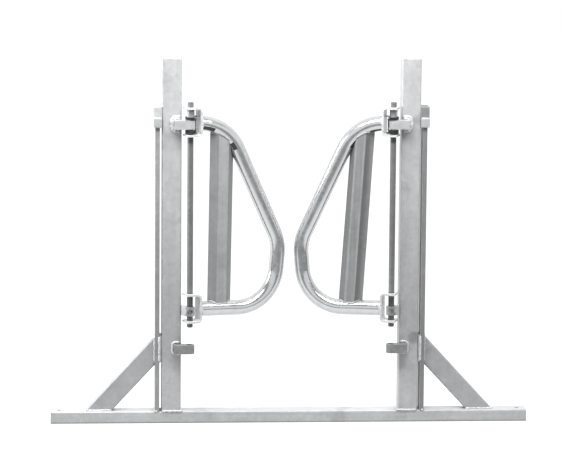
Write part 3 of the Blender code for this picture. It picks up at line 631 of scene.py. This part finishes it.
def tubeRadius(word, side, turn, bend, along):
    # round on the straights, a little flat in the bends, and creased inside the low one
    radius = tube["radius"]
    inward = -math.cos(turn)
    if bend >= 0:
        radius *= 1 - tube["flatten"] * abs(math.cos(turn)) + tube["flatten"] * 0.5 * abs(math.sin(turn))
    if bend == 4 and inward > 0.3:
        done = min(1, max(0, (along - tube["creaseFrom"]) / tube["creaseRun"]))
        fade = min(1, (inward - 0.3) * 2.2) * math.sin(math.pi * done)
        uneven = 1.7 * noise.noise(Vector((along * 40, turn, side)))
        wave = math.sin(math.tau * along / tube["creasePitch"] + uneven)
        radius += tube["crease"][word] * fade * (wave - 0.4)
    skin = Vector((along * 30, math.cos(turn) * 2, math.sin(turn) * 2 + side))
    return radius + tube["waver"] * noise.noise(skin)


def makeFlapTube(word, side):
    work = bmesh.new()
    rings = []
    count = tube["ringSides"]
    for number, (u, z, heading, bend, along) in enumerate(stations):
        ring = []
        for k in range(count):
            turn = math.tau * k / count
            radius = tubeRadius(word, side, turn, bend, along)
            rise = math.cos(turn) * radius
            pu, pz = u + rise * math.sin(heading), z + rise * math.cos(heading)
            if number in (0, len(stations) - 1):
                slide = (flap["webOuter"] - pu) / math.cos(heading)
                pu, pz = flap["webOuter"], pz - slide * math.sin(heading)
            ring.append(work.verts.new(flapPoint(side, pu, math.sin(turn) * radius, pz)))
        rings.append(ring)
    # Faces low on the tube near its ends and just past the strut take the near-black finish: painted shade
    # and painted dark reflection.
    upperDip, lowerDip = (math.radians(d) for d in tube["paintedShadeDip"][word])
    for number, (first, second) in enumerate(zip(rings, rings[1:])):
        along = stations[number][4]
        near = any(a <= along <= b for a, b in (tube["paintedShadeEnds"], tube["paintedShadePastStrut"][word]))
        for k in range(count):
            face = work.faces.new((first[k], first[(k + 1) % count], second[(k + 1) % count], second[k]))
            turn = math.tau * (k + 0.5) / count
            dip = math.atan2(-math.cos(turn), -math.sin(turn))  # how far down the face looks
            if near and upperDip < dip < lowerDip:
                face.material_index = 1
    work.faces.new(rings[0][::-1])
    work.faces.new(rings[-1])
    piece = finishMesh(f"flap_tube_skin_{word}", work, flapZinc)
    piece.data.materials.append(paintedShadeZinc)
    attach(piece, f"flap_{word}")
    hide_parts(f"flap_tube_{word}")


def ringWeld(side, station):
    # a ring where the tube meets the bracket's web
    u, z, heading = station[:3]
    line = []
    for k in range(33):
        turn = math.tau * k / 32
        rise = math.cos(turn) * (tube["radius"] + tube["ringRise"])
        pz = z + rise * math.cos(heading) + rise * math.sin(heading) * math.tan(heading)
        v = math.sin(turn) * (tube["radius"] + tube["ringRise"])
        line.append(flapPoint(side, flap["webOuter"] + tube["ringOff"], v, pz))
    return line


def centreHeight(u, upper):
    # height of the tube's centre line over a distance from the rod, on its upper or lower side
    best = None
    for (u0, z0, *_), (u1, z1, *_) in zip(stations, stations[1:]):
        if min(u0, u1) <= u <= max(u0, u1) and abs(u1 - u0) > 1e-6:
            z = z0 + (z1 - z0) * (u - u0) / (u1 - u0)
            if best is None or (z > best) == upper:
                best = z
    return best


def strutWelds(word, side):
    lines = []
    for middle, upper in zip(struts[word], (True, False)):
        line = []
        for s, v, _ in evenly([Vector((a, b, 0)) for a, b in struts["profile"]], struts["weldStep"]):
            skin = math.sqrt(max(0, tube["radius"] ** 2 - v ** 2))
            z = centreHeight(middle + s, upper) + (-skin if upper else skin)
            line.append(flapPoint(side, middle + s, v - struts["weldOut"], z))
        lines.append(line)
    return lines


for word, side in sides.items():
    makeFlapTube(word, side)
    tubeEnds = [ringWeld(side, stations[0]), ringWeld(side, stations[-1])]
    weldBeads(f"weld_rings_{word}", tubeEnds, welds["rings"], f"flap_{word}")
    weldBeads(f"weld_strut_{word}", strutWelds(word, side), welds["strut"], f"flap_{word}", weldDull)
print("flap tubes bent and welded")


# Double torsion springs: one loop round the lug, two coils, and two legs in the bracket's web
spring = {
    "wire": 0.0020, "coil": 0.01623, "link": 0.0184, "pitch": 0.0046, "lowTurns": 2.75, "topTurns": 1.75,
    "corner": 0.004, "tip": 0.032, "perTurn": 36, "gap": 0.0003, "ringSides": 12, "step": 0.003,
    "bendFrom": 0.0005, "bendTo": 0.0022}
lugLow, lugHigh = low("hinge_lug_top_right").z, high("hinge_lug_top_right").z


def coil(turns, startZ, climb):
    points = []
    count = round(turns * spring["perTurn"])
    for i in range(count + 1):
        done = i / count
        angle = -math.tau * turns * done
        ease = min(1, done * turns * 4)
        radius = spring["link"] + (spring["coil"] - spring["link"]) * ease * ease * (3 - 2 * ease)
        z = startZ + climb * spring["pitch"] * turns * done
        points.append((radius * math.cos(angle), radius * math.sin(angle), z))
    return points


def springHalf(startZ, turns, climb):
    # from the middle of the loop to the tip of the leg
    points = [(spring["link"], spring["corner"], (lugLow + lugHigh) / 2)]
    for i in range(6, 0, -1):
        angle = i * math.pi / 12
        points.append((spring["link"], spring["corner"] * math.sin(angle),
                       startZ - climb * spring["corner"] * (1 - math.cos(angle))))
    points += coil(turns, startZ, climb)
    points.append((spring["tip"], *points[-1][1:]))
    return points


def makeSpringHalf(word, side, which, startZ, turns, climb):
    points = springHalf(startZ, turns, climb)
    work = bmesh.new()
    line = evenly([flapPoint(side, *p) for p in points], spring["step"])
    sweep(work, line, lambda i, count, here, spoke: spring["wire"], spring["ringSides"])
    piece = finishMesh(f"spring_{which}_{word}", work, springWire)
    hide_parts(f"torsion_spring_{word}")
    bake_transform(piece)


for word, side in sides.items():
    makeSpringHalf(word, side, "low", lugLow - spring["gap"] - spring["wire"], spring["lowTurns"], -1)
    makeSpringHalf(word, side, "top", lugHigh + spring["gap"] + spring["wire"], spring["topTurns"], 1)
print("springs wound")


# Floor and surroundings: plain light for the steel, and white to the eye. Shiny steel may see its own level.
def whiteToTheEye(tree, forLight, output, white, inShine, keepShade=None):
    path = tree.nodes.new("ShaderNodeLightPath")
    shiny = sumNode(tree, "MAXIMUM", path.outputs["Is Glossy Ray"], path.outputs["Is Transmission Ray"])
    seen = sumNode(tree, "MAXIMUM", path.outputs["Is Camera Ray"], shiny)
    glow = tree.nodes.new("ShaderNodeEmission" if keepShade else "ShaderNodeBackground")
    glow.inputs["Color"].default_value = (1, 1, 1, 1)
    strength = sumNode(tree, "MAXIMUM", sumNode(tree, "MULTIPLY", path.outputs["Is Camera Ray"], white),
                       sumNode(tree, "MULTIPLY", shiny, inShine))
    link(tree, strength, glow.inputs["Strength"])
    shown = glow.outputs[0]
    if keepShade:
        both = tree.nodes.new("ShaderNodeAddShader")
        link(tree, shown, both.inputs[0])
        link(tree, keepShade, both.inputs[1])
        shown = both.outputs[0]
    choose = tree.nodes.new("ShaderNodeMixShader")
    for socket, source in zip(choose.inputs, (seen, forLight, shown)):
        link(tree, source, socket)
    link(tree, choose.outputs[0], output)


# The sheet of white is short towards the camera, so steel that faces forward mirrors the dimmer room.
ground = {"size": 14.0, "under": 0.0006, "tone": 0.24, "white": 0.86, "rough": 0.9,
          "sheetEnds": -1.9, "sheetFades": -1.0, "room": 0.16, "roomTone": 0.10}
corners = [(x * ground["size"], y * ground["size"], -ground["under"])
           for x, y in ((-1, -1), (1, -1), (1, 1), (-1, 1))]
floorMesh = bpy.data.meshes.new("floor")
floorMesh.from_pydata(corners, [], [(0, 1, 2, 3)])
floor = bpy.data.objects.new("floor", floorMesh)
bpy.context.scene.collection.objects.link(floor)
floorPaint, tree, paint = newMaterial("floorPaint")
paint.inputs["Roughness"].default_value = ground["rough"]
depth = partOf(tree, tree.nodes.new("ShaderNodeTexCoord").outputs["Object"], "Y")
sheet = ramp(tree, depth, ground["sheetEnds"], ground["sheetFades"], ground["room"], ground["white"])
greys = ramp(tree, depth, ground["sheetEnds"], ground["sheetFades"], ground["roomTone"], ground["tone"])
link(tree, greyOf(tree, greys), paint.inputs["Base Color"])
whiteToTheEye(tree, paint.outputs[0], tree.nodes["Material Output"].inputs["Surface"], ground["white"],
              sheet, paint.outputs[0])
floorMesh.materials.append(floorPaint)

# Place up the sky and its level, from straight down at 0 to straight up at 1
sky = {"levels": [(0.30, 0.08), (0.50, 0.07), (0.80, 0.15), (0.90, 0.42), (0.94, 1.0)], "strength": 2.0}
world = bpy.data.worlds.new("studio")
bpy.context.scene.world = world
world.use_nodes = True
tree = world.node_tree
air = tree.nodes["Background"]
direction = tree.nodes.new("ShaderNodeTexCoord").outputs["Generated"]
upward, backward = partOf(tree, direction, "Z"), partOf(tree, direction, "Y")
steps = tree.nodes.new("ShaderNodeValToRGB")
for number, (place, level) in enumerate(sky["levels"]):
    stop = steps.color_ramp.elements[number] if number < 2 else steps.color_ramp.elements.new(place)
    stop.position = place
    stop.color = (level, level, level, 1)
link(tree, ramp(tree, upward, -1, 1, 0, 1), steps.inputs["Fac"])
link(tree, steps.outputs["Color"], air.inputs["Color"])
air.inputs["Strength"].default_value = sky["strength"]
# What shiny steel shows: white behind, and in front a dim room with a bright band just over eye height.
# Each is a way from and to, and the levels there.
mirror = {"behind": (-0.30, 0.15, 0.24, 1), "bandFoot": (-0.10, 0.02, 0, 1), "bandTop": (0.38, 0.55, 1, 0.25),
          "above": (0.70, 0.92, 0, 0.85)}
band = sumNode(tree, "MINIMUM", ramp(tree, upward, *mirror["bandFoot"]),
               ramp(tree, upward, *mirror["bandTop"]))
room = sumNode(tree, "MAXIMUM", ramp(tree, backward, *mirror["behind"]), ramp(tree, upward, *mirror["above"]))
shine = sumNode(tree, "MAXIMUM", room, band)
whiteToTheEye(tree, air.outputs[0], tree.nodes["World Output"].inputs["Surface"], 1.0, shine)


# Soft lamps: one above and in front, one from the left
lamps = {
    "overhead": {"at": (-0.15, -0.85, 2.2), "aim": (0, 0, 0.9), "size": (2.4, 0.5), "watts": 42},
    "leftFill": {"at": (-3.6, 0.1, 1.6), "aim": (0, 0, 0.7), "size": (1.2, 1.6), "watts": 85}}
for lampName, lamp in lamps.items():
    light = bpy.data.lights.new(lampName, "AREA")
    light.shape = "RECTANGLE"
    light.size, light.size_y = lamp["size"]
    light.energy = lamp["watts"]
    holder = bpy.data.objects.new(lampName, light)
    bpy.context.scene.collection.objects.link(holder)
    holder.location = lamp["at"]
    holder.rotation_euler = (Vector(lamp["aim"]) - Vector(lamp["at"])).to_track_quat("-Z", "Y").to_euler()
print("floor and light set")


# Camera: ten metres off, a little to the left and above, through a long lens
shot = {"at": (-0.682, -10.0, 2.263), "yaw": -3.71, "pitch": -7.64, "roll": 0.45, "focalPixels": 3039,
        "width": 562, "sensor": 36, "shiftY": -0.1504}
yaw, pitch, roll = (math.radians(shot[key]) for key in ("yaw", "pitch", "roll"))
right = Vector((math.cos(yaw), math.sin(yaw), 0))
ahead = Vector((-math.sin(yaw) * math.cos(pitch), math.cos(yaw) * math.cos(pitch), math.sin(pitch)))
up = right.cross(ahead)
rolledRight = math.cos(roll) * right + math.sin(roll) * up
rolledUp = -math.sin(roll) * right + math.cos(roll) * up
cameraData = bpy.data.cameras.new("shot")
cameraData.sensor_width = shot["sensor"]
cameraData.lens = shot["focalPixels"] * shot["sensor"] / shot["width"]
cameraData.shift_y = shot["shiftY"]
camera = bpy.data.objects.new("shot", cameraData)
bpy.context.scene.collection.objects.link(camera)
camera.matrix_world = Matrix([(rolledRight[i], rolledUp[i], -ahead[i], shot["at"][i]) for i in range(3)]
                             + [(0, 0, 0, 1)])
bpy.context.scene.camera = camera
bpy.context.scene.view_settings.view_transform = "Standard"

print("finishing")
